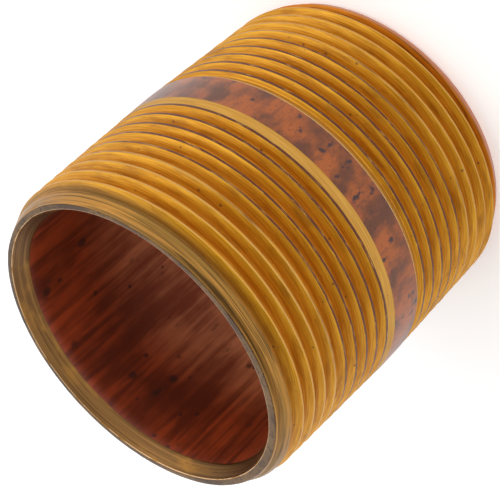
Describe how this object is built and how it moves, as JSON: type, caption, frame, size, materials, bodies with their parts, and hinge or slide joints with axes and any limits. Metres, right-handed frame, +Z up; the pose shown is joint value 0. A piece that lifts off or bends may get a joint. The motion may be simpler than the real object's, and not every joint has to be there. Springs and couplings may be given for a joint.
{
  "type": "threaded pipe nipple",
  "caption": "Short brass pipe nipple: a straight-bored pipe with a right-hand taper pipe thread on each end and a plain band between the threads.",
  "frame": {"origin": "centre of the lower end face, where the pipe's axis meets it", "axes": "+Z up along the pipe's axis, out of the upper end; the ends of both grooves lie on the +Y side"},
  "size_m": [0.0482, 0.0482, 0.0508],
  "materials": {
    "red_brass": "machined thread, mill skin on the band and in the bore"
  },
  "bodies": {
    "root": {"nipple": "red_brass"}
  },
  "joints": []
}
